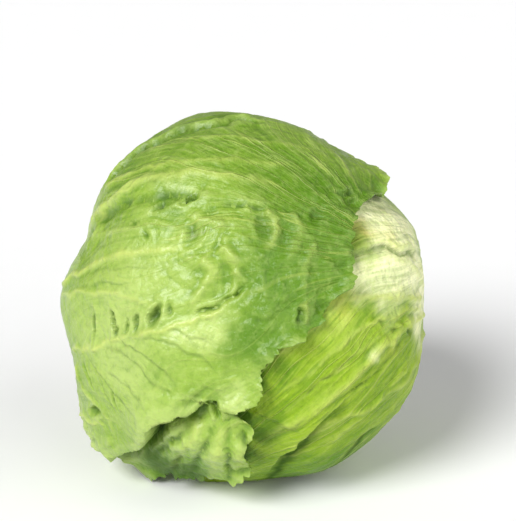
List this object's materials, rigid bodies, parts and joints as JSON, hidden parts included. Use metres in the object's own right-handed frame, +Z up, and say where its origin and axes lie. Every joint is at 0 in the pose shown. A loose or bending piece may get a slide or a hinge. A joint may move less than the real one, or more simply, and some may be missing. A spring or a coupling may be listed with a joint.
{
  "type": "iceberg lettuce",
  "caption": "Round head of crisp lettuce lying on its side, with overlapping toothed wrapper leaves round a dense heart and a cut stem at the back.",
  "frame": {"origin": "on the surface that the head lies on, under the middle of its box", "axes": "+Z up; the crown faces -Y and tips up by 18 degrees; the cut stem faces +Y; +X is to the right as the crown is seen"},
  "size_m": [0.1577, 0.1439, 0.1533],
  "materials": {
    "leaf_outer": "satin",
    "leaf_pale": "satin",
    "heart": "satin",
    "stem": "matte"
  },
  "bodies": {
    "root": {"leaf_left": "leaf_outer", "leaf_right": "leaf_pale", "leaf_lower": "leaf_outer", "leaf_top": "leaf_outer", "leaf_under": "leaf_outer", "leaf_upper_right": "leaf_pale", "heart": "heart", "stem": "stem"}
  },
  "joints": []
}
